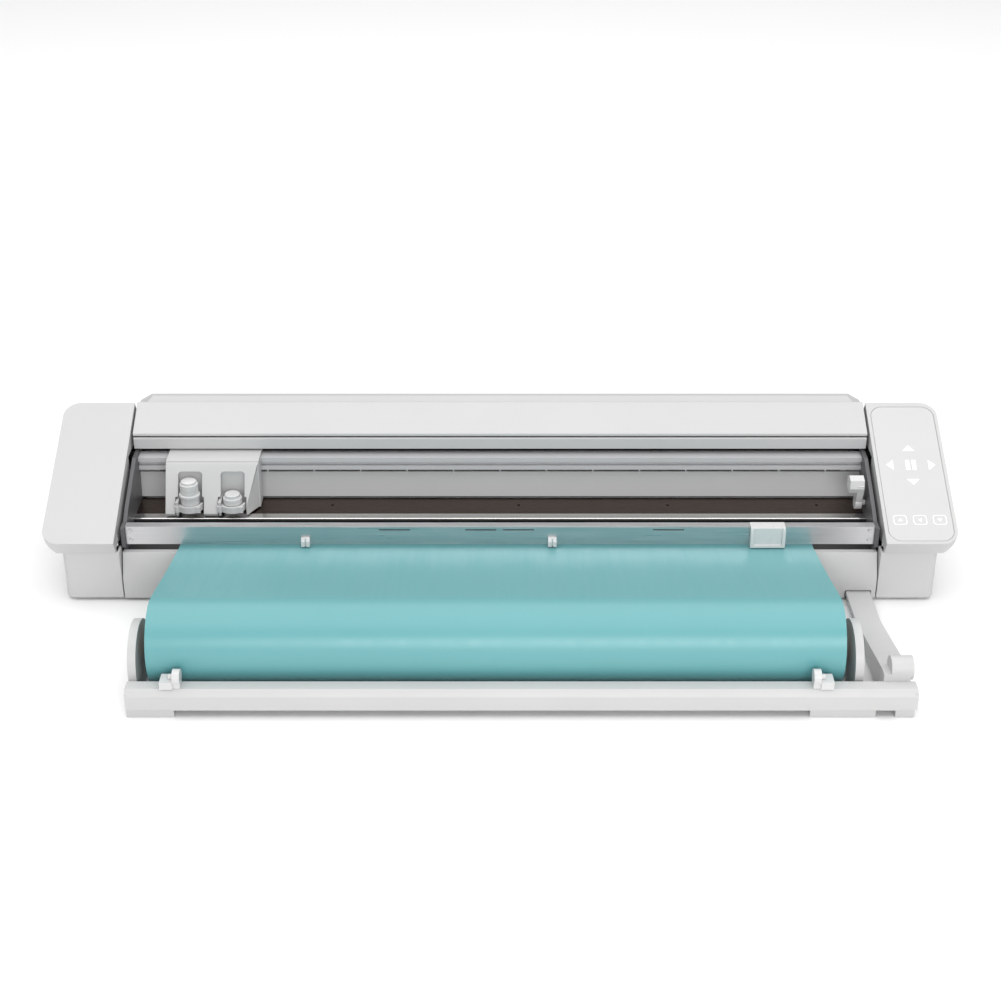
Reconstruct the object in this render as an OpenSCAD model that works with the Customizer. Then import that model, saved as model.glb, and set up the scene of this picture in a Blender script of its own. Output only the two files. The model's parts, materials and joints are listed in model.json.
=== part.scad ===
// Desktop vinyl cutter, 24 inch class, with a pull-out roll feeder.
// X runs to the operator's right, Y to the back and Z up. The origin is on the desk, midway
// between the feeder's front rail and the machine's back. Y = 0 is the front lip of the end caps.

/* [Machine] */
// Overall width across the two end caps
machine_w = 940; // [930:5:1000]
// Width of one end cap
cap_w = 75; // [70:1:80]
// Height of the end caps' front lip
lip_z = 72; // [70:1:74]
// Height of the back edge of the sloping faces
top_z = 155; // [152:1:160]
// Depth at which the sloping faces end
slope_end_y = 165; // [160:1:168]
// Depth from the front lip to the back
back_y = 205; // [203:1:210]
// Corner radius of the end caps
cap_r = 18; // [10:1:22]
// Wall thickness of the mouldings
wall = 3; // [2:0.5:3]

/* [Media] */
// Width of the vinyl
vinyl_w = 656; // [600:1:660]
// Outer radius of the vinyl roll
roll_r = 42; // [36:0.5:42]
// Outer radius of the cardboard core
core_r = 21; // [16:0.5:25]
// Thickness of the vinyl web
web_t = 0.5; // [0.4:0.1:0.6]

/* [Carriage] */
// Width of the carriage
carriage_w = 98; // [94:1:104]
// Distance of the parked carriage's left side from the machine's centre
carriage_x = 354; // [340:1:360]
// Spacing of the two tools
tool_pitch = 45; // [42:1:46]
// Radius of the tool bodies
tool_r = 10; // [8:0.5:10]

/* [Gears] */
// Gear module of the feed drive
gear_module = 1; // [1:0.25:1]
// Teeth on the feed gear
gear_teeth = 36; // [36:1:36]
// Teeth on the feed pinion
pinion_teeth = 12; // [12:1:12]

/* [Hidden] */
$fn = 48;

shell_white = [0.90, 0.90, 0.90];
shell_grey = [0.80, 0.80, 0.80];
metal = [0.68, 0.68, 0.69];
dark_metal = [0.30, 0.27, 0.25];
black = [0.08, 0.08, 0.08];
teal = [0.45, 0.76, 0.76];

half_w = machine_w / 2;
cap_in = half_w - cap_w;
cap_floor_z = 57;
slope = atan2(top_z - lip_z, slope_end_y);
slope_len = slope_end_y / cos(slope);
frame_in = cap_in - 8;
frame_t = 4;
pod_in = cap_in - 3;
pod_out = half_w - 18;
pod_front = 8.5;
pod_back = 200;
tray_z = 3;
tray_t = 2.5;

roller_y = 134;
roller_z = 54;
roller_r = 8;
shaft_r = 3.5;
bush_r = 6;
pinch_r = 6;
pinch_z = roller_z + roller_r + pinch_r + 0.8;
pinch_pivot = [168, 84];
pinch_xs = [-260, -100, 100, 260];
lever_pivot = [84, 76];
lever_x = 376;

belt_y = 145;
belt_z = 104;
belt_h = 6;
pulley_x = 430;
pulley_r = 7;
belt_t = 1.5;
motor_w = 42;
gear_x = 400;
gear_w = 8;
pinion_y = roller_y + gear_module * (gear_teeth + pinion_teeth) / 2;

beam_y = 117;
beam_z = 98;
beam_h = 14.2;
beam_d = 16;

body_split_y = 96;
tool_y = 80;
tool_xs = [-carriage_x + 26, -carriage_x + 26 + tool_pitch];
clamp_pin = [-13, 72];

roll_x = -4;
roll_y = -140;
roll_z = 46;
rail_x0 = -350;
rail_x1 = 390;
rail_front = -205;
rail_back = -187;
cradle_l = -342;
cradle_r = 334;
support_r = 6;
support_z = 8;
support_gap = 0.3;
support_dy = sqrt(pow(roll_r + support_r + support_gap, 2) - pow(roll_z - support_z, 2));
ledge_y = 24;
slot_z = 56.2;
slot_y = 20;

// Height of the end caps' sloping face at depth y
function roof(y) = lip_z + (top_z - lip_z) / slope_end_y * y;

// A profile of [y, z] points drawn out along X from x0 to x1
module run(points, x0, x1) {
    translate([x0, 0, 0]) rotate([90, 0, 90]) linear_extrude(height = x1 - x0) polygon(points);
}

// A block given by its two opposite corners
module block(low, high) {
    translate(low) cube(high - low);
}

// A round bar along X
module bar_x(x0, x1, y, z, r) {
    translate([x0, y, z]) rotate([0, 90, 0]) cylinder(h = x1 - x0, r = r);
}

// A rectangle in plan with its two corners on the high X side rounded
module outer_rounded(x0, x1, y0, y1, r) {
    translate([x0, y0]) square([x1 - x0 - r, y1 - y0]);
    translate([x0, y0 + r]) square([x1 - x0, y1 - y0 - 2 * r]);
    for (y = [y0 + r, y1 - r]) translate([x1 - r, y]) circle(r);
}

// A rectangle in plan with all four corners rounded
module rounded(x0, x1, y0, y1, r) {
    translate([x0 + r, y0]) square([x1 - x0 - 2 * r, y1 - y0]);
    translate([x0, y0 + r]) square([x1 - x0, y1 - y0 - 2 * r]);
    for (x = [x0 + r, x1 - r], y = [y0 + r, y1 - r]) translate([x, y]) circle(r);
}

// Places a flat drawing on the sloping face: its Y runs up the slope
module on_slope() {
    translate([0, 0, lip_z]) rotate([slope, 0, 0]) children();
}

// The solid envelope of an end cap, shrunk by inset on every face. Its rounded corners and its
// front and back faces stand square to the sloping face.
module cap_envelope(inset) {
    intersection() {
        on_slope() translate([0, 0, -220]) linear_extrude(height = 220 - inset)
            outer_rounded(cap_in + inset, half_w - inset, inset, slope_len - inset, cap_r - inset);
        block([300, -50, cap_floor_z + inset], [600, back_y - inset, 300]);
        rotate([90, 0, 0]) translate([0, 0, -300]) linear_extrude(height = 400)
            polygon([[300, cap_floor_z], [half_w - 13 - inset, cap_floor_z], [half_w - inset, lip_z - 2],
                     [half_w - inset, 200], [300, 200]]);
    }
}

module right_cap_shell() {
    difference() {
        cap_envelope(0);
        cap_envelope(wall);
        // the floor opens over the pod
        block([pod_in + wall, 12, cap_floor_z - 1],
              [pod_out - wall, pod_back - wall, cap_floor_z + wall + 1]);
        // shafts and belt pass through the inner wall
        block([cap_in - 1, 108, cap_floor_z - 1], [cap_in + wall + 1, 162, 118]);
        // small slot in the inner wall
        block([cap_in - 1, 14, 64], [cap_in + 1.2, 21, 72]);
    }
}

module left_cap() color(shell_white) mirror([1, 0, 0]) right_cap_shell();

module right_cap() color(shell_white) {
    difference() {
        right_cap_shell();
        on_slope() translate([0, 0, -1.2]) linear_extrude(height = 5)
            rounded(cap_in + 3.6, half_w - 3.6, 3.6, slope_len - 5.6, 13.4);
    }
}

module control_panel() color(shell_white) {
    on_slope() translate([0, 0, -1.2]) linear_extrude(height = 1.2)
        rounded(cap_in + 4, half_w - 4, 4, slope_len - 6, 13);
}

// Arrow of the feed pad: a triangle that points along its own Y
module arrow() {
    polygon([[-6.5, -3], [6.5, -3], [0, 4.5]]);
}

// Outline of a touch key with a generic mark inside
module key_outline(turn) {
    difference() {
        rounded(-7, 7, -6, 6, 3);
        rounded(-6.2, 6.2, -5.2, 5.2, 2.3);
    }
    rotate(turn) polygon([[-2.6, -1.5], [2.6, -1.5], [0, 2]]);
}

module touch_icons() color("white") {
    pad = [432.9, 100.6];
    reach = 21.5;
    on_slope() linear_extrude(height = 0.25) {
        for (a = [0:90:270]) translate(pad) rotate(a) translate([0, reach]) arrow();
        for (side = [-1, 1]) translate([pad[0] + side * 3.3 - 2.1, pad[1] - 6.5]) square([4.2, 13]);
        for (i = [0:2]) translate([pad[0] + (i - 1) * 20.5, 29.9]) key_outline(i * 90);
    }
}

module right_pod_shell() {
    difference() {
        translate([0, 0, tray_z]) linear_extrude(height = cap_floor_z - tray_z)
            outer_rounded(pod_in, pod_out, pod_front, pod_back, 9);
        translate([0, 0, tray_z + wall]) linear_extrude(height = 80)
            outer_rounded(pod_in + wall, pod_out - wall, pod_front + wall, pod_back - wall, 6);
        block([pod_in - 1, 24, 20], [pod_in + wall + 1, pod_back - wall, 80]);
    }
}

module left_pod() color(shell_white) mirror([1, 0, 0]) right_pod_shell();

module right_pod() color(shell_white) difference() {
    right_pod_shell();
    block([405, pod_back - wall - 1, 22], [433, pod_back + 1, 44]);
    block([435.5, pod_back - wall - 1, 24], [443, pod_back + 1, 34]);
}

module base_tray() color(shell_grey) {
    block([-pod_in + 2, 27, tray_z], [pod_in - 2, pod_back, tray_z + tray_t]);
    difference() {
        block([-pod_in + 2, pod_back - wall, tray_z], [pod_in - 2, pod_back, cap_floor_z]);
        for (i = [-8:8]) block([i * 40 - 12, pod_back - wall - 1, 26], [i * 40 + 12, pod_back + 1, 30]);
    }
}

module apron() color(shell_grey) difference() {
    run([[8, tray_z], [8, 27], [19, 51.5], [26, 51.5], [26, 48.5], [21, 48.5], [11, 26.3], [11, tray_z]],
        -pod_in + 1, pod_in - 1);
    // notches for the feeder's arms
    block([359, 7, 2], [386, 12, 12]);
    block([-351, 7, 2], [-341, 12, 12]);
}

module rubber_feet() color(black) {
    for (x = [-422, -160, 160, 422], y = [24, 180])
        if (abs(x) > 200 || y > 100) translate([x, y, 0]) cylinder(h = tray_z, r = 9);
    for (x = [-160, 160]) translate([x, 44, 0]) cylinder(h = tray_z, r = 9);
}

module top_cover() color(shell_white) {
    run([[127.4, roof(127.4) - 0.2], [slope_end_y, top_z], [slope_end_y + 3, top_z],
         [slope_end_y + 3, top_z - wall], [slope_end_y + 0.7, top_z - wall], [127.4, roof(127.4) - 3.4]],
        -cap_in + 2.5, cap_in - 2.5);
}

module visor() color(shell_grey) {
    run([[126, 118.5], [126, 130.4], [127.5, 131.3], [129.5, 131.3], [129.5, 121], [134, 121], [134, 118.5]],
        -cap_in + 3, cap_in - 3);
}

module rear_cover() color(shell_grey) intersection() {
    union() {
        run([[169, 150], [169, top_z - 0.7], [178, top_z + 2.5], [187, top_z + 1], [back_y, 120],
             [back_y, 74], [back_y - wall, 74], [back_y - wall, 119], [185, top_z - 1.8],
             [178.5, top_z - 0.7], [172, top_z - 3.2], [172, 150]], -cap_in + 1, cap_in - 1);
        // closed ends behind the chamfers
        for (x = [-cap_in + 1, cap_in - 24])
            run([[169, 150], [169, top_z - 0.7], [178, top_z + 2.5], [187, top_z + 1], [195, 140.5],
                 [178, 140.5]], x, x + 23);
    }
    rotate([90, 0, 0]) translate([0, 0, -300]) linear_extrude(height = 400)
        polygon([[-cap_in + 1, 60], [cap_in - 1, 60], [cap_in - 1, 146], [cap_in - 21, top_z + 5],
                 [-cap_in + 21, top_z + 5], [-cap_in + 1, 146]]);
}

module side_frame() {
    difference() {
        run([[28, tray_z + tray_t], [28, 57], [20, 57], [20, 79], [36, 79], [50, 88], [108, 116.5],
             [190, 116.5], [190, tray_z + tray_t]], frame_in, frame_in + frame_t);
        bar_x(frame_in - 1, frame_in + frame_t + 1, roller_y, roller_z, bush_r);
        block([frame_in - 1, 130, 100], [frame_in + frame_t + 1, 158, 113]);
        bar_x(frame_in - 1, frame_in + frame_t + 1, pinch_pivot[0], pinch_pivot[1], 2.55);
    }
}

module left_side_frame() color(metal) mirror([1, 0, 0]) side_frame();

module right_side_frame() color(metal) difference() {
    side_frame();
    bar_x(frame_in - 1, frame_in + frame_t + 1, lever_pivot[0], lever_pivot[1], 3.05);
}

module roller_bushes() color("goldenrod") {
    for (x = [-frame_in - frame_t, frame_in]) difference() {
        bar_x(x, x + frame_t, roller_y, roller_z, bush_r);
        bar_x(x - 1, x + frame_t + 1, roller_y, roller_z, shaft_r + 0.05);
    }
}

module rail_beam() color(metal) {
    groove = 5.2;
    run([[beam_y, beam_z], [beam_y, 102.6], [beam_y + groove, 102.6], [beam_y + groove, 107.4],
         [beam_y, 107.4], [beam_y, beam_z + beam_h], [beam_y + beam_d, beam_z + beam_h],
         [beam_y + beam_d, beam_z]], -frame_in, frame_in);
}

module back_wall() color(shell_grey) {
    run([[119, 65], [122.5, 93], [125, 93], [121.5, 65]], -frame_in, frame_in);
    for (i = [-7:7]) block([i * 50 - 0.8, 122.5, 93], [i * 50 + 0.8, 125, beam_z]);
}

module platen() color(dark_metal) {
    difference() {
        run([[83, 50], [83, 63], [118.5, 63], [118.5, 60.5], [85.5, 60.5], [85.5, 50]], -frame_in, frame_in);
        for (x = [-340, -180, 20, 180, 340]) translate([x, 102, 60]) cylinder(h = 4, r = 1.6);
    }
}

module cutting_strip() color([0.86, 0.85, 0.83]) {
    run([[71, 56], [71, 62.3], [72, 63.4], [82, 63.4], [83, 62.8], [83, 56]], -frame_in, frame_in);
}

module media_trough() color(black) {
    run([[28, 47], [28, 49.5], [68, 49.5], [68, 63], [71, 63], [71, 47]], -frame_in, frame_in);
}

// An upright slotted metal plate that the crosscutter runs along
module front_ledge() color(metal) {
    difference() {
        run([[ledge_y, 58.6], [ledge_y, 78.7], [34, 78.7], [34, 76.7], [26, 76.7], [26, 58.6]],
            -frame_in, frame_in);
        for (x = [-109, -20, 19, 174, 279]) block([x - 16, ledge_y - 1, 74.6], [x + 16, 27, 76]);
    }
}

module ledge_screws() color(metal) {
    for (side = [-1, 1], z = [63, 74]) translate([side * (frame_in - 5), ledge_y, z])
        rotate([90, 0, 0]) cylinder(h = 1.2, r = 2.2);
}

module drive_roller() color(metal) {
    bar_x(-frame_in + 3, frame_in - 3, roller_y, roller_z, roller_r);
    bar_x(-frame_in - 6, gear_x + gear_w + 2, roller_y, roller_z, shaft_r);
}

// Outline of a spur gear with straight-sided teeth
module gear_outline(teeth, turn) {
    r = gear_module * teeth / 2;
    polygon([for (i = [0:teeth - 1], p = [[-0.3, -1.2], [-0.15, 0.8], [0.15, 0.8], [0.3, -1.2]])
        let (a = turn + 360 / teeth * (i + p[0]), q = r + gear_module * p[1]) [q * cos(a), q * sin(a)]]);
}

// A gear whose axis lies along X; an angle of 0 in its outline points along +Y
module gear_x_axis(teeth, turn, bore, y, z) {
    translate([gear_x, y, z]) rotate([90, 0, 90]) linear_extrude(height = gear_w) difference() {
        gear_outline(teeth, turn);
        circle(bore);
    }
}

module feed_gear() color([0.9, 0.88, 0.8]) {
    gear_x_axis(gear_teeth, 0, shaft_r, roller_y, roller_z);
}

module feed_pinion() color("goldenrod") {
    gear_x_axis(pinion_teeth, 180 / pinion_teeth, 2.5, pinion_y, roller_z);
    bar_x(gear_x - 2, gear_x + 17, pinion_y, roller_z, 2.5);
}

// A square stepper motor body centred on the origin, its shaft hole opening towards +Z
module stepper(length) {
    difference() {
        intersection() {
            translate([-motor_w / 2, -motor_w / 2, -length]) cube([motor_w, motor_w, length]);
            translate([0, 0, -length - 1]) rotate(45) translate([-26, -26, 0]) cube([52, 52, length + 2]);
        }
        translate([0, 0, -8]) cylinder(h = 9, r = 2.55);
    }
}

module feed_motor() color(black) {
    translate([gear_x + 11, pinion_y, roller_z]) rotate([0, -90, 0]) stepper(36);
}

module carriage_motor() color(black) {
    translate([-pulley_x, belt_y, 96]) stepper(36);
}

// A flanged belt pulley on a vertical axis
module pulley(x) {
    translate([x, belt_y, belt_z - 1.5]) {
        cylinder(h = 1, r = pulley_r + 2);
        cylinder(h = belt_h + 3, r = pulley_r - 0.1);
        translate([0, 0, belt_h + 2]) cylinder(h = 1, r = pulley_r + 2);
    }
}

module drive_pulley() color(metal) {
    pulley(-pulley_x);
    translate([-pulley_x, belt_y, 89]) cylinder(h = 14, r = 2.5);
}

module idler_pulley() color(metal) difference() {
    pulley(pulley_x);
    translate([pulley_x, belt_y, 90]) cylinder(h = 40, r = 3.05);
}

// The right plate carries the idler's post, the left one the carriage motor
module pulley_brackets() color(metal) {
    block([frame_in + frame_t, 132, 97], [pulley_x + 12, 157, 100]);
    translate([pulley_x, belt_y, 99]) cylinder(h = 15, r = 3);
    difference() {
        block([-pulley_x - 20, 130, 96], [-frame_in - frame_t, 158, 97.5]);
        translate([-pulley_x, belt_y, 90]) cylinder(h = 20, r = 8);
    }
}

// A flat loop with round ends round both pulleys
module stadium(r) {
    translate([-pulley_x, -r]) square([2 * pulley_x, 2 * r]);
    for (x = [-pulley_x, pulley_x]) translate([x, 0]) circle(r);
}

module timing_belt() color(black) {
    translate([0, belt_y, belt_z]) linear_extrude(height = belt_h) difference() {
        stadium(pulley_r + belt_t);
        stadium(pulley_r);
    }
}

module pinch_frame() color(dark_metal) {
    block([-372, 150, 74], [372, 156, 84]);
    for (side = [-1, 1]) {
        block([side > 0 ? 369 : -372, 150, 80], [side > 0 ? 372 : -369, 170, 88]);
        bar_x(side > 0 ? 372 : -390, side > 0 ? 390 : -372, pinch_pivot[0], pinch_pivot[1], 2.5);
    }
    for (x = [-322, -200, 0, 200, 322]) difference() {
        run([[130.5, 65.5], [130.5, 72], [150, 82], [150, 75], [138, 66]], x - 1.5, x + 1.5);
        bar_x(x - 3, x + 3, roller_y, pinch_z, 2.05);
    }
}

module pinch_rollers() color(black) {
    bar_x(-326, 326, roller_y, pinch_z, 2);
    for (x = pinch_xs) bar_x(x - 14, x + 14, roller_y, pinch_z, pinch_r);
}

module pinch_lever() color(shell_white) {
    bar_x(lever_x, frame_in + frame_t + 3, lever_pivot[0], lever_pivot[1], 3);
    bar_x(lever_x, lever_x + 7, lever_pivot[0], lever_pivot[1], 7);
    run([[79, 76], [74, 92], [73, 100], [80, 104], [88, 100], [89, 90], [90.5, 76]], lever_x, lever_x + 7);
    run([[76, 91], [73, 97], [75, 106], [84, 108], [91, 104], [91, 92]], lever_x - 8, lever_x + 7);
}

module carriage_body() color(shell_white) {
    x0 = -carriage_x;
    x1 = x0 + carriage_w;
    block([x0, body_split_y, 64.5], [x1, 116.5, 112.5]);
    // runs in the beam's groove
    block([x0 + 4, 116, 103], [x1 - 4, 121.7, 107]);
    // goes over the beam and down to the belt
    block([x0, 100, 112.5], [x1, 136.2, 116.5]);
    block([x0 + 30, 134, 104.5], [x1 - 30, 136.2, 116.5]);
    // hinge pins of the two tool clamps
    for (x = tool_xs) {
        translate([x + clamp_pin[0], clamp_pin[1], 67]) cylinder(h = 15.2, r = 1.5);
        for (z = [67.4, 78.8])
            block([x + clamp_pin[0] - 1.5, clamp_pin[1], z], [x + clamp_pin[0] + 1.5, body_split_y, z + 3]);
    }
}

module carriage_cover() color(shell_white) {
    x0 = -carriage_x;
    x1 = x0 + carriage_w;
    difference() {
        intersection() {
            run([[74, 64.5], [71.5, 68], [95, 111.5], [98, 115.8], [99.9, 115.8], [99.9, 112.6],
                 [body_split_y, 112.6], [body_split_y, 64.5]], x0, x1);
            // the right side widens to the back
            linear_extrude(height = 200)
                polygon([[x0, 60], [x1 - 15, 60], [x1 - 15, 70], [x1, 98], [x1, 110], [x0, 110]]);
        }
        for (x = tool_xs) {
            block([x - 15.5, 60, 60], [x + 14.5, body_split_y + 1, 84]);
            block([x - 12.5, 60, 83], [x + 12.5, body_split_y + 1, 104]);
            block([x - 9, 60, 103], [x + 9, body_split_y + 1, 107.5]);
            for (side = [-1, 1]) translate([x + side * 9, 60, 104]) rotate([-90, 0, 0])
                cylinder(h = body_split_y - 59, r = 3.5);
        }
    }
}

// Upright tool body made of rings; the spindle axis is at its centre
module tool_body(x, rings) {
    translate([x, tool_y, 0])
        for (ring = rings) translate([0, 0, ring[0]]) cylinder(h = ring[1] - ring[0], r = ring[2]);
}

module blade_holder() color(shell_white) {
    tool_body(tool_xs[0], [[67, 70, 4], [70, 86, tool_r], [86, 89, tool_r + 1], [89, 101, tool_r - 0.5],
                           [101, 104, tool_r - 2]]);
}

module second_tool() color(shell_white) {
    tool_body(tool_xs[1], [[67, 70, 5], [70, 85, tool_r], [85, 89, tool_r - 2]]);
}

// Curved flap in front of a tool, on a knuckle round the carriage's hinge pin
module tool_clamp(x) {
    difference() {
        union() {
            translate([x, tool_y, 71]) linear_extrude(height = 7) intersection() {
                difference() {
                    circle(tool_r + 3.4);
                    circle(tool_r + 0.9);
                }
                polygon([[0, 0], [-30, -12], [-30, -30], [24, -30], [14, 0]]);
            }
            translate([x + clamp_pin[0], clamp_pin[1], 71]) cylinder(h = 7, r = 2.8);
            block([x + 7, 68.4, 71], [x + 12, 71, 78]);
        }
        translate([x + clamp_pin[0], clamp_pin[1], 60]) cylinder(h = 30, r = 1.55);
        translate([x, tool_y, 60]) cylinder(h = 30, r = tool_r + 0.9);
    }
}

module left_clamp() color(shell_grey) tool_clamp(tool_xs[0]);
module right_clamp() color(shell_grey) tool_clamp(tool_xs[1]);

module crosscutter() color(shell_white) {
    x = 276;
    difference() {
        run([[16, 58.2], [16, 75], [18.5, 80.8], [31, 80.8], [31, 79.1], [ledge_y - 0.5, 79.1],
             [ledge_y - 0.5, 58.2]], x - 18, x + 18);
        block([x - 14.5, 15, 61], [x + 14.5, 18, 82]);
    }
}

module media_clips() color(shell_white) {
    for (x = [-201, 54]) difference() {
        run([[18.5, 58], [18.5, 64], [20.5, 67.5], [ledge_y, 67.5], [ledge_y, 58]], x - 4.5, x + 4.5);
        block([x - 0.6, 17.5, 57], [x + 0.6, 20.5, 70]);
    }
}

module main_board() color("darkgreen") {
    block([200, 100, 12], [330, 185, 13.6]);
    for (x = [205, 325], y = [105, 180]) translate([x, y, tray_z + tray_t]) cylinder(h = 7, r = 3);
    for (i = [0:2]) block([215 + i * 36, 120, 13], [237 + i * 36, 142, 16]);
    block([215, 160, 13], [300, 172, 20]);
}

module power_supply() color(metal) {
    block([-200, 105, tray_z + tray_t], [-60, 185, 42]);
}

module power_inlet() color(black) difference() {
    block([405.2, 186, 22.2], [432.8, 201.5, 43.8]);
    block([409, 189, 26], [429, 203, 40]);
}

module data_port() color(black) difference() {
    block([435.7, 186, 24.2], [442.8, 201, 33.8]);
    block([437, 190, 25.7], [441.5, 203, 32.3]);
}

module front_rail() color(shell_white) {
    run([[rail_front, 8], [rail_front, 23], [rail_front + 3, 27.5], [rail_front + 5, 29], [rail_back, 29],
         [rail_back, 8], [rail_back - 3, 8], [rail_back - 3, 25.5], [rail_front + 4, 25.5],
         [rail_front + 3, 23], [rail_front + 3, 8]], rail_x0, rail_x1);
    for (x = [rail_x0, rail_x1 - 3]) block([x, rail_front + 1, 8], [x + 3, rail_back - 1, 26]);
}

module rail_feet() color(shell_grey) {
    for (foot = [[-350, -305], [290, 352], [370, 388]])
        block([foot[0], rail_front + 0.5, 0], [foot[1], rail_back - 0.5, 8]);
}

// Side profile of an arm: flat where it slides into the machine, rising to the front rail
function arm_profile(peak) =
    [[78, 6.5], [78, 11], [-50, 11], [-176, peak], [rail_back, peak], [rail_back, 6.5]];

// End plate that carries the support rollers beside the roll
module cradle_plate(x0, x1) {
    intersection() {
        bar_x(x0, x1, roll_y - 6, 31, 36);
        block([x0, rail_back, 6.5], [x1, -60, 80]);
    }
    block([x0, rail_back, 2.5], [x1, -96, 16]);
}

// Bores for the two support rollers' pins
module cradle_bores(x0, x1) {
    for (y = [roll_y - support_dy, roll_y + support_dy]) bar_x(x0 - 1, x1 + 1, y, support_z, 2.05);
}

module left_arm() color(shell_white) difference() {
    union() {
        run(arm_profile(26), cradle_l - 8, cradle_l);
        cradle_plate(cradle_l - 8, cradle_l);
    }
    cradle_bores(cradle_l - 8, cradle_l);
}

module right_arm() color(shell_white) {
    run(arm_profile(36), 360, 385);
    difference() {
        bar_x(367, 388, -175.5, 37, 11.5);
        bar_x(385, 390, -175.5, 37, 5);
    }
    block([cradle_r + 8, rail_back, 3], [360, rail_back + 8, 20]);
}

module right_cradle() color(shell_white) difference() {
    cradle_plate(cradle_r, cradle_r + 8);
    cradle_bores(cradle_r, cradle_r + 8);
}

module support_roller(y) {
    bar_x(cradle_l + 0.5, cradle_r - 0.5, y, support_z, support_r);
    bar_x(cradle_l - 6, cradle_r + 6, y, support_z, 2);
}

module front_support_roller() color(metal) support_roller(roll_y - support_dy);
module rear_support_roller() color(metal) support_roller(roll_y + support_dy);

// Adjustable stop that sits on the front rail, its wheel on the inner side
module roll_guide(x, side) {
    block([min(x, x + side * 12), rail_front + 3, 29.2], [max(x, x + side * 12), rail_back + 0.5, 37]);
    translate([x, -194, 38.5]) rotate([0, -90 * side, 0]) cylinder(h = 7, r = 7.6);
    bar_x(min(x, x + side * 4), max(x, x + side * 4), -194, 38.5, 3);
    block([min(x, x - side * 7), -200, 29.2], [max(x, x - side * 7), -189, 34]);
}

module left_roll_guide() color(shell_white) roll_guide(-305, -1);
module right_roll_guide() color(shell_white) roll_guide(299, 1);

module roll_core() color([0.72, 0.6, 0.45]) difference() {
    bar_x(roll_x - vinyl_w / 2 - 2, roll_x + vinyl_w / 2 + 2, roll_y, roll_z, core_r);
    bar_x(roll_x - vinyl_w / 2 - 3, roll_x + vinyl_w / 2 + 3, roll_y, roll_z, core_r - 2.5);
}

module vinyl_roll() color(teal) difference() {
    bar_x(roll_x - vinyl_w / 2, roll_x + vinyl_w / 2, roll_y, roll_z, roll_r);
    bar_x(roll_x - vinyl_w / 2 - 1, roll_x + vinyl_w / 2 + 1, roll_y, roll_z, core_r);
}

// The web leaves the top of the roll as a tangent, drops to the front plate and lies flat beneath it
module vinyl_web() color(teal) {
    reach = roll_r + 0.4;
    fall = atan2(roll_z + roll_r - slot_z, slot_y - roll_y);
    start = [roll_y + reach * sin(fall), roll_z + reach * cos(fall)];
    run([start, [slot_y, slot_z], [44, slot_z], [44, slot_z + web_t], [slot_y, slot_z + web_t],
         start + web_t * [sin(fall), cos(fall)]],
        roll_x - vinyl_w / 2, roll_x + vinyl_w / 2);
}

base_tray();
left_pod();
right_pod();
apron();
rubber_feet();
left_cap();
right_cap();
control_panel();
touch_icons();
top_cover();
visor();
rear_cover();
left_side_frame();
right_side_frame();
roller_bushes();
rail_beam();
back_wall();
platen();
cutting_strip();
media_trough();
front_ledge();
ledge_screws();
drive_roller();
feed_gear();
feed_pinion();
feed_motor();
carriage_motor();
drive_pulley();
idler_pulley();
pulley_brackets();
timing_belt();
pinch_frame();
pinch_rollers();
pinch_lever();
carriage_body();
carriage_cover();
blade_holder();
second_tool();
left_clamp();
right_clamp();
crosscutter();
media_clips();
main_board();
power_supply();
power_inlet();
data_port();
front_rail();
rail_feet();
left_arm();
right_arm();
right_cradle();
front_support_roller();
rear_support_roller();
left_roll_guide();
right_roll_guide();
roll_core();
vinyl_roll();
vinyl_web();
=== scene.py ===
"""Looks of the vinyl cutter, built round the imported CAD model. Metres, X right, Y back, Z up."""
import json
import math

import bmesh
import bpy
from mathutils import Matrix, Vector


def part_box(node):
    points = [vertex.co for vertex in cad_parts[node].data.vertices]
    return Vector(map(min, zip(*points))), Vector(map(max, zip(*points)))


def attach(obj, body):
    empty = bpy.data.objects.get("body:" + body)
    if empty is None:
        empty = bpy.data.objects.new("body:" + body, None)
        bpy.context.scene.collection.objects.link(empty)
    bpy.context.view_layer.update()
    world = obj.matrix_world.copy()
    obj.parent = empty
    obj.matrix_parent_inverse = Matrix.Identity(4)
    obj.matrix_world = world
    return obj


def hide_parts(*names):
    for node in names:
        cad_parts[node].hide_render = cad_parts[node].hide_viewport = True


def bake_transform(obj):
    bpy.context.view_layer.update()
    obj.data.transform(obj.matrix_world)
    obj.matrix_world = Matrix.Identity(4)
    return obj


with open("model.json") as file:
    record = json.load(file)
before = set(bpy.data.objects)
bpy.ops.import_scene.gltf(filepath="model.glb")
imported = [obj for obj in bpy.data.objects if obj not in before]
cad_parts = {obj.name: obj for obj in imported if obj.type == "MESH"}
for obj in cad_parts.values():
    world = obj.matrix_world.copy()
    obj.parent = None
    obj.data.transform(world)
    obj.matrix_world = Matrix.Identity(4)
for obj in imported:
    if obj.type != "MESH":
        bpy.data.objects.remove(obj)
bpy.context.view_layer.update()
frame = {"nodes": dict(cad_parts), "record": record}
record = frame["record"]
SLOT_OF = {part["node"]: part["material_slot"] for part in record["subparts"]}
BODY_OF = {node: body for body, nodes in record["behaviour"]["bodies"].items() for node in nodes}


# ---------------------------------------------------------------- camera, light and floor

CAMERA_PLACE = Vector((0.0005, -1.572, 0.9486))
CAMERA_DOWN = math.radians(27.73)
LENS = 63.4
FLOOR_REACH = 9


def make_camera():
    data = bpy.data.cameras.new("camera")
    data.lens = LENS
    data.sensor_width = 36
    camera = bpy.data.objects.new("camera", data)
    camera.location = CAMERA_PLACE
    camera.rotation_euler = (math.pi / 2 - CAMERA_DOWN, 0, 0)
    bpy.context.collection.objects.link(camera)
    bpy.context.scene.camera = camera


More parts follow.
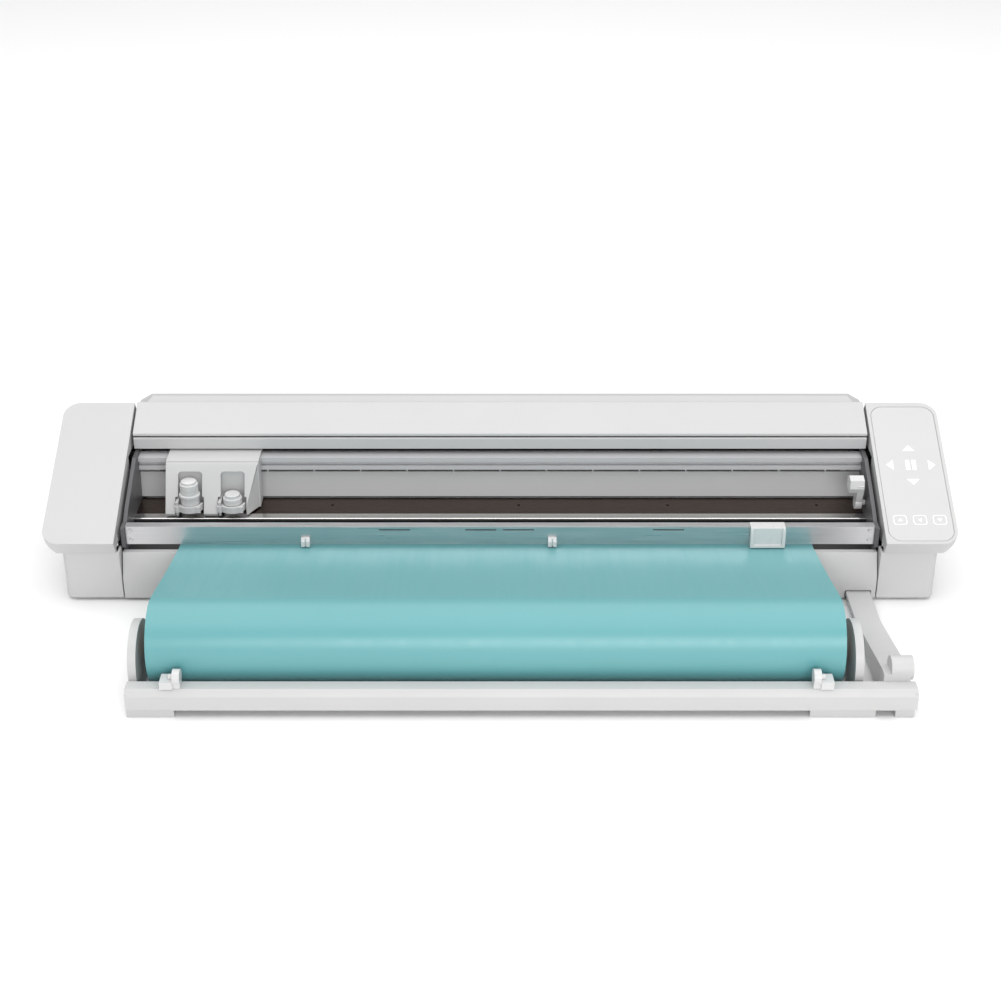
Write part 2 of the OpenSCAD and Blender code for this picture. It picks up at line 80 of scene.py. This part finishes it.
def area_light(name, place, target, size, power):
    data = bpy.data.lights.new(name, "AREA")
    data.shape = "RECTANGLE"
    data.size, data.size_y = size
    data.energy = power
    light = bpy.data.objects.new(name, data)
    light.location = place
    light.rotation_euler = (Vector(target) - Vector(place)).to_track_quat("-Z", "Y").to_euler()
    bpy.context.collection.objects.link(light)


def make_studio():
    world = bpy.data.worlds.new("studio")
    world.use_nodes = True
    sky = world.node_tree.nodes["Background"]
    sky.inputs["Color"].default_value = (1, 1, 1, 1)
    sky.inputs["Strength"].default_value = 0.42
    bpy.context.scene.world = world
    bpy.context.scene.view_settings.view_transform = "Standard"
    area_light("overhead", (0, 0.6, 3.5), (0, 0.5, 0), (7.0, 6.0), 200)
    area_light("front", (0.3, -2.4, 1.0), (0, -0.05, 0.06), (2.0, 0.9), 30)
    mesh = bpy.data.meshes.new("floor")
    corners = [(-1, -1), (1, -1), (1, 1), (-1, 1)]
    mesh.from_pydata([(x * FLOOR_REACH, y * FLOOR_REACH, 0) for x, y in corners], [], [(0, 1, 2, 3)])
    floor = bpy.data.objects.new("floor", mesh)
    bpy.context.collection.objects.link(floor)
    paint = Paint("floor_paint", (0.93, 0.93, 0.93), 0.85)
    paint.vary_color(paint.noise(3, detail=2), 0.995)
    floor.data.materials.append(paint.material)


# ---------------------------------------------------------------- materials

class Paint:
    """A Principled material with short helpers that add procedural detail in object space."""

    def __init__(self, name, color, roughness, metallic=0.0):
        self.material = bpy.data.materials.new(name)
        self.material.use_nodes = True
        self.nodes = self.material.node_tree.nodes
        self.links = self.material.node_tree.links
        self.shader = self.nodes["Principled BSDF"]
        self.shader.inputs["Base Color"].default_value = (*color, 1)
        self.shader.inputs["Roughness"].default_value = roughness
        self.shader.inputs["Metallic"].default_value = metallic
        self.color = color
        self.coords = None

    def noise(self, scale, stretch=(1, 1, 1), detail=3.0):
        if self.coords is None:
            self.coords = self.nodes.new("ShaderNodeTexCoord")
        mapping = self.nodes.new("ShaderNodeMapping")
        mapping.inputs["Scale"].default_value = stretch
        noise = self.nodes.new("ShaderNodeTexNoise")
        noise.inputs["Scale"].default_value = scale
        noise.inputs["Detail"].default_value = detail
        self.links.new(self.coords.outputs["Object"], mapping.inputs["Vector"])
        self.links.new(mapping.outputs["Vector"], noise.inputs["Vector"])
        return noise.outputs["Fac"]

    def ramp(self, source, low, high):
        node = self.nodes.new("ShaderNodeMapRange")
        node.inputs["From Min"].default_value = 0.3
        node.inputs["From Max"].default_value = 0.7
        node.inputs["To Min"].default_value = low
        node.inputs["To Max"].default_value = high
        self.links.new(source, node.inputs["Value"])
        return node.outputs["Result"]

    def vary_roughness(self, source, low, high):
        self.links.new(self.ramp(source, low, high), self.shader.inputs["Roughness"])

    def vary_color(self, source, darker):
        mix = self.nodes.new("ShaderNodeMix")
        mix.data_type = "RGBA"
        mix.inputs["A"].default_value = (*[c * darker for c in self.color], 1)
        mix.inputs["B"].default_value = (*self.color, 1)
        self.links.new(self.ramp(source, 0, 1), mix.inputs["Factor"])
        self.links.new(mix.outputs["Result"], self.shader.inputs["Base Color"])

    def bump(self, source, strength, depth):
        node = self.nodes.new("ShaderNodeBump")
        node.inputs["Strength"].default_value = strength
        node.inputs["Distance"].default_value = depth
        self.links.new(source, node.inputs["Height"])
        self.links.new(node.outputs["Normal"], self.shader.inputs["Normal"])

    def set(self, **values):
        for name, value in values.items():
            self.shader.inputs[name.replace("_", " ")].default_value = value


def moulded(name, color, roughness, grain=0.10, coat=0.0):
    """Moulded plastic: spark-eroded grain, slow changes of tone and gloss."""
    paint = Paint(name, color, roughness)
    paint.vary_color(paint.noise(9, detail=2), 0.975)
    paint.vary_roughness(paint.noise(60), roughness - 0.05, roughness + 0.06)
    paint.bump(paint.noise(2600, detail=1), grain, 0.00008)
    if coat:
        paint.set(Coat_Weight=coat, Coat_Roughness=0.18)
    return paint.material


def brushed(name, color, roughness, stretch, lines=900):
    """Metal brushed along one axis."""
    paint = Paint(name, color, roughness, metallic=1.0)
    grain = paint.noise(lines, stretch=stretch, detail=4)
    paint.vary_color(grain, 0.90)
    paint.vary_roughness(grain, roughness - 0.07, roughness + 0.10)
    paint.bump(grain, 0.12, 0.00004)
    return paint.material


def vinyl():
    """Satin film: calendering streaks round the roll and a faint orange peel."""
    paint = Paint("vinyl_film", (0.125, 0.37, 0.39), 0.36)
    paint.vary_color(paint.noise(5, stretch=(1, 0.25, 0.25), detail=2), 0.965)
    paint.vary_roughness(paint.noise(40, stretch=(3, 0.2, 0.2)), 0.31, 0.42)
    paint.bump(paint.noise(420, detail=2), 0.05, 0.00006)
    paint.set(Coat_Weight=0.22, Coat_Roughness=0.30)
    return paint.material


def cardboard():
    paint = Paint("core_card", (0.46, 0.33, 0.20), 0.85)
    paint.vary_color(paint.noise(300, stretch=(0.3, 1, 1), detail=5), 0.78)
    paint.bump(paint.noise(1500, detail=3), 0.3, 0.0001)
    return paint.material


def circuit_green():
    paint = Paint("solder_mask", (0.02, 0.11, 0.05), 0.3)
    paint.vary_color(paint.noise(700, stretch=(1, 0.2, 1), detail=1), 0.6)
    paint.set(Coat_Weight=0.4)
    return paint.material


def grit_steel():
    paint = Paint("grit_steel", (0.42, 0.42, 0.43), 0.42, metallic=1.0)
    grit = paint.noise(2200, detail=2)
    paint.vary_color(grit, 0.7)
    paint.bump(grit, 0.6, 0.0002)
    return paint.material


MATERIALS = {
    "shell_white": moulded("shell_white", (0.55, 0.55, 0.548), 0.44),
    "shell_grey": moulded("shell_grey", (0.52, 0.52, 0.52), 0.46),
    "panel_white": moulded("panel_white", (0.56, 0.56, 0.558), 0.34, grain=0.03, coat=0.25),
    "icon_white": moulded("icon_white", (0.97, 0.97, 0.97), 0.35, grain=0.02),
    "tool_white": moulded("tool_white", (0.62, 0.62, 0.62), 0.30, grain=0.04, coat=0.2),
    "extruded_metal": brushed("extruded_metal", (0.60, 0.60, 0.61), 0.34, (0.02, 1, 1)),
    "beam_paint": moulded("beam_paint", (0.54, 0.54, 0.55), 0.38, grain=0.04),
    "frame_metal": moulded("frame_metal", (0.095, 0.095, 0.10), 0.38, grain=0.2),
    "platen_dark": brushed("platen_dark", (0.115, 0.085, 0.07), 0.30, (0.02, 1, 1)),
    "bright_strip": brushed("bright_strip", (0.83, 0.82, 0.80), 0.16, (0.02, 1, 1)),
    "steel": brushed("steel", (0.55, 0.55, 0.56), 0.28, (1, 0.05, 0.05)),
    "black_plastic": moulded("black_plastic", (0.022, 0.022, 0.024), 0.42, grain=0.2),
    "rubber_black": moulded("rubber_black", (0.028, 0.028, 0.028), 0.75, grain=0.4),
    "bush_brass": brushed("bush_brass", (0.70, 0.50, 0.22), 0.30, (1, 0.1, 0.1)),
    "gear_plastic": moulded("gear_plastic", (0.78, 0.74, 0.62), 0.40),
    "board_green": circuit_green(),
    "core_card": cardboard(),
    "vinyl_teal": vinyl(),
}
GRIT = grit_steel()


# ---------------------------------------------------------------- mesh helpers

BEVEL_SEGMENTS = 3
BEVEL_ANGLE = 28

def paint_object(obj, material):
    obj.data.materials.clear()
    obj.data.materials.append(material)


def add_piece(name, mesh, body, slot, material=None, smooth_angle=35):
    """Makes an object of a mesh. It rides on a body, or on none if no body is given."""
    obj = bpy.data.objects.new(name, mesh)
    bpy.context.collection.objects.link(obj)
    paint_object(obj, material or MATERIALS[slot])
    shade(obj, smooth_angle)
    if body:
        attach(obj, body)
    return obj


def shade(obj, angle):
    mesh = obj.data
    mesh.shade_smooth()
    mesh.set_sharp_from_angle(angle=math.radians(angle))


def mesh_of(name, build):
    bm = bmesh.new()
    build(bm)
    bmesh.ops.recalc_face_normals(bm, faces=bm.faces)
    mesh = bpy.data.meshes.new(name)
    bm.to_mesh(mesh)
    bm.free()
    return mesh


def softened(node, width):
    """Stands in for a moulded CAD node with the same shape, its sharp edges rounded by a real bevel."""
    mesh = frame["nodes"][node].data.copy()
    mesh.name = node + "_moulded"
    bm = bmesh.new()
    bm.from_mesh(mesh)
    bmesh.ops.remove_doubles(bm, verts=bm.verts, dist=1e-5)
    bmesh.ops.dissolve_limit(bm, angle_limit=math.radians(0.5), verts=bm.verts, edges=bm.edges)
    bm.to_mesh(mesh)
    bm.free()
    piece = bpy.data.objects.new(node + "_moulded", mesh)
    bpy.context.collection.objects.link(piece)
    bevel = piece.modifiers.new("edges", "BEVEL")
    bevel.width = width
    bevel.segments = BEVEL_SEGMENTS
    bevel.limit_method = "ANGLE"
    bevel.angle_limit = math.radians(BEVEL_ANGLE)
    bevel.miter_outer = "MITER_ARC"
    evaluated = piece.evaluated_get(bpy.context.evaluated_depsgraph_get())
    applied = bpy.data.meshes.new_from_object(evaluated)
    piece.modifiers.clear()
    piece.data = applied
    paint_object(piece, MATERIALS[SLOT_OF[node]])
    shade(piece, 32)
    weighted_normals(piece)
    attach(piece, BODY_OF[node])
    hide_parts(node)


def weighted_normals(obj):
    """Keeps the large flat faces flat, so only the bevels shade round."""
    modifier = obj.modifiers.new("normals", "WEIGHTED_NORMAL")
    modifier.keep_sharp = True


# ---------------------------------------------------------------- the moulded shells

BEVELS = {
    "left_cap": 0.0016, "right_cap": 0.0016, "left_pod": 0.0012, "right_pod": 0.0012,
    "apron": 0.0009, "top_cover": 0.0008, "visor": 0.0006, "rear_cover": 0.0010,
    "front_rail": 0.0008, "rail_feet": 0.0009, "left_arm": 0.0010, "right_arm": 0.0012,
    "right_cradle": 0.0012, "carriage_cover": 0.0009, "carriage_body": 0.0007,
    "crosscutter": 0.0005, "media_clips": 0.0004, "pinch_lever": 0.0014,
    "left_roll_guide": 0.0007, "right_roll_guide": 0.0007, "left_clamp": 0.0005, "right_clamp": 0.0005,
    "front_ledge": 0.0003, "cutting_strip": 0.0003, "control_panel": 0.0003,
}


# ---------------------------------------------------------------- the vinyl

ROLL_LOW, ROLL_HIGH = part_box("vinyl_roll")
CORE_LOW, CORE_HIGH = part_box("roll_core")
ROLL_MIDDLE = (ROLL_LOW + ROLL_HIGH) / 2
ROLL_RADIUS = (ROLL_HIGH.z - ROLL_LOW.z) / 2
CORE_RADIUS = (CORE_HIGH.z - CORE_LOW.z) / 2
LAYERS_SHOWN = 14
RIDGE = 0.00035
FILM_HALF = 0.00018
SLOT_DEPTH = 0.020
DIP = 0.0012


def ring_tube(bm, profile, steps):
    """Turns a closed profile of (x, radius) points about the roll's axis."""
    rings = []
    for step in range(steps):
        angle = 2 * math.pi * step / steps
        y_share, z_share = math.cos(angle), math.sin(angle)
        rings.append([bm.verts.new((x, ROLL_MIDDLE.y + r * y_share, ROLL_MIDDLE.z + r * z_share))
                      for x, r in profile])
    for step in range(steps):
        here, there = rings[step], rings[(step + 1) % steps]
        for i in range(len(profile)):
            j = (i + 1) % len(profile)
            bm.faces.new((here[i], here[j], there[j], there[i]))


def wound_roll():
    """The wound vinyl under the outermost turn: its ends show the layers as fine ridges."""
    pitch = (ROLL_RADIUS - CORE_RADIUS - 0.0004) / LAYERS_SHOWN

    def build(bm):
        left = []
        for i in range(LAYERS_SHOWN):
            inner = CORE_RADIUS + 0.0002 + i * pitch
            recess = RIDGE * (0.2 + 0.5 * (i * 7 % 5) / 5)
            left += [(ROLL_LOW.x + RIDGE, inner), (ROLL_LOW.x + recess, inner + pitch / 2)]
        left += [(ROLL_LOW.x, ROLL_RADIUS - 0.0007), (ROLL_LOW.x + 0.0003, ROLL_RADIUS - 0.0003)]
        right = [(2 * ROLL_MIDDLE.x - x, r) for x, r in reversed(left)]
        ring_tube(bm, left + right, 128)

    piece = add_piece("wound_vinyl", mesh_of("wound_vinyl", build), "roll", "vinyl_teal", smooth_angle=40)
    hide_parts("vinyl_roll")


def web():
    """The outermost turn and the strip it feeds: it leaves as a tangent and dips under its weight."""
    low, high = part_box("vinyl_web")
    slot_point = (SLOT_DEPTH, low.z + 0.00025)
    reach = ROLL_RADIUS + 0.00005
    fall = math.atan2(ROLL_MIDDLE.z + ROLL_RADIUS - slot_point[1], slot_point[0] - ROLL_MIDDLE.y)
    points = []
    wrap_steps = 70
    wrap_from = math.radians(-150)
    for i in range(wrap_steps):
        angle = wrap_from + (fall - wrap_from) * i / wrap_steps
        points.append((ROLL_MIDDLE.y + reach * math.sin(angle), ROLL_MIDDLE.z + reach * math.cos(angle)))
    start = (ROLL_MIDDLE.y + reach * math.sin(fall), ROLL_MIDDLE.z + reach * math.cos(fall))
    steps = 40
    for i in range(steps + 1):
        t = i / steps
        points.append((start[0] + (slot_point[0] - start[0]) * t,
                       start[1] + (slot_point[1] - start[1]) * t - DIP * math.sin(math.pi * t) ** 2))
    flat_steps = 8
    points += [(slot_point[0] + (high.y - slot_point[0]) * i / flat_steps, slot_point[1])
               for i in range(1, flat_steps + 1)]
    columns = 60

    def build(bm):
        sides = []
        for offset in (FILM_HALF, -FILM_HALF):
            rows = []
            for y, z in points:
                rows.append([bm.verts.new((low.x + (high.x - low.x) * c / columns, y, z + offset))
                             for c in range(columns + 1)])
            sides.append(rows)
        top, bottom = sides
        last = len(points) - 1
        for i in range(last):
            for c in range(columns):
                bm.faces.new((top[i][c], top[i][c + 1], top[i + 1][c + 1], top[i + 1][c]))
                bm.faces.new((bottom[i][c], bottom[i + 1][c], bottom[i + 1][c + 1], bottom[i][c + 1]))
            for c in (0, columns):
                bm.faces.new((top[i][c], top[i + 1][c], bottom[i + 1][c], bottom[i][c]))
        for c in range(columns):
            for i in (0, last):
                bm.faces.new((top[i][c], bottom[i][c], bottom[i][c + 1], top[i][c + 1]))

    piece = add_piece("vinyl_strip", mesh_of("vinyl_strip", build), None, "vinyl_teal", smooth_angle=60)
    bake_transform(piece)
    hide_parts("vinyl_web")


# ---------------------------------------------------------------- tools on the carriage

def lathe(bm, centre, profile, steps=72, ribs=0, rib_depth=0.0, rib_span=(0, 0)):
    """Turns (z, radius) points about an upright axis; ribs cut the grip between two heights."""
    rings = []
    for z, r in profile:
        ring = []
        ribbed = ribs and rib_span[0] <= z <= rib_span[1]
        for step in range(steps):
            angle = 2 * math.pi * step / steps
            grip = rib_depth if ribbed and (step * ribs // (steps // 2)) % 2 else 0
            ring.append(bm.verts.new((centre.x + (r - grip) * math.cos(angle),
                                      centre.y + (r - grip) * math.sin(angle), z)))
        rings.append(ring)
    for lower, upper in zip(rings, rings[1:]):
        for step in range(steps):
            after = (step + 1) % steps
            bm.faces.new((lower[step], lower[after], upper[after], upper[step]))
    bm.faces.new(list(reversed(rings[0])))
    bm.faces.new(rings[-1])


def tool(node, name, body, profile, rib_span):
    low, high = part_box(node)
    centre = Vector(((low.x + high.x) / 2, (low.y + high.y) / 2, 0))
    points = [(low.z + dz / 1000, r / 1000) for dz, r in profile]
    span = (low.z + rib_span[0] / 1000, low.z + rib_span[1] / 1000)
    mesh = mesh_of(name, lambda bm: lathe(bm, centre, points, ribs=12, rib_depth=0.0005, rib_span=span))
    piece = add_piece(name, mesh, body, "tool_white", smooth_angle=38)
    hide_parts(node)


def tools():
    tool("blade_holder", "blade_holder_turned", "left_tool",
         [(0, 2.6), (0.6, 3.6), (2.6, 4), (3, 4.4), (3.1, 9.2), (3.9, 10), (7, 10), (7.4, 9.4), (8.2, 9.4),
          (8.6, 10), (18.4, 10), (19, 10.2), (19.4, 11), (21.6, 11), (22, 10.4), (22.4, 9.5), (26, 9.5),
          (26.3, 9), (27, 9), (27.3, 9.5), (33.4, 9.5), (34, 8.9), (34.2, 8), (36.4, 8), (37, 7.2)], (28, 33))
    tool("second_tool", "second_tool_turned", "right_tool",
         [(0, 3.4), (0.6, 4.6), (2.8, 5), (3.1, 9.2), (3.9, 10), (9, 10), (9.5, 9.3), (11, 9.3), (11.5, 10),
          (17.4, 10), (18, 9.4), (18.1, 8), (21.2, 8), (22, 7)], (12, 17))


# ---------------------------------------------------------------- small fasteners

def screw_head(name, place, axis, radius, body):
    """A low domed screw head with a cross on top. Its flat side lies on place, facing along axis."""
    height = radius * 0.45

    def build(bm):
        profile = [(0, radius), (height * 0.5, radius * 0.97), (height * 0.85, radius * 0.7),
                   (height, radius * 0.35)]
        lathe(bm, Vector((0, 0, 0)), profile, steps=32)
        bar_width = radius * 0.22
        for turn in (0, math.pi / 2):
            made = bmesh.ops.create_cube(bm, size=1)["verts"]
            bmesh.ops.scale(bm, vec=(radius * 1.1, bar_width, height * 0.16), verts=made)
            bmesh.ops.rotate(bm, matrix=Matrix.Rotation(turn, 3, "Z"), verts=made)
            bmesh.ops.translate(bm, vec=(0, 0, height * 0.98), verts=made)

    obj = add_piece(name, mesh_of(name, build), body, "steel")
    turn = Vector(axis).to_track_quat("Z", "Y").to_matrix().to_4x4()
    obj.matrix_world = Matrix.Translation(place) @ turn


def screws():
    """Small screws in the walls beside the front plate, the caps, the pods and the rear cover."""
    cap_wall = 0.395
    under_pods = 0.003
    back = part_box("left_cap")[1].y
    to_back = (0, 1, 0)
    down = (0, 0, -1)
    for side in (-1, 1):
        edge = "left" if side < 0 else "right"
        beside_plate = Vector((side * cap_wall, 0.019, 0.0605))
        screw_head(f"wall_screw_{edge}", beside_plate, (-side, 0, 0), 0.0022, "chassis")
        for i, x in enumerate((0.412, 0.446)):
            on_cap = Vector((side * x, back, 0.066))
            screw_head(f"cap_screw_{edge}_{i}", on_cap, to_back, 0.0032, "chassis")
        for i, y in enumerate((0.046, 0.158)):
            on_pod = Vector((side * 0.432, y, under_pods))
            screw_head(f"pod_screw_{edge}_{i}", on_pod, down, 0.0032, "chassis")
    for i in range(5):
        on_cover = Vector(((i - 2) * 0.17, back, 0.084))
        screw_head(f"rear_screw_{i}", on_cover, to_back, 0.0030, "chassis")


# ---------------------------------------------------------------- assembly

make_camera()
make_studio()
for node_name, node_object in frame["nodes"].items():
    paint_object(node_object, MATERIALS[SLOT_OF[node_name]])
    shade(node_object, 30)
paint_object(frame["nodes"]["drive_roller"], GRIT)
for node_name, bevel_width in BEVELS.items():
    softened(node_name, bevel_width)
wound_roll()
web()
tools()
screws()
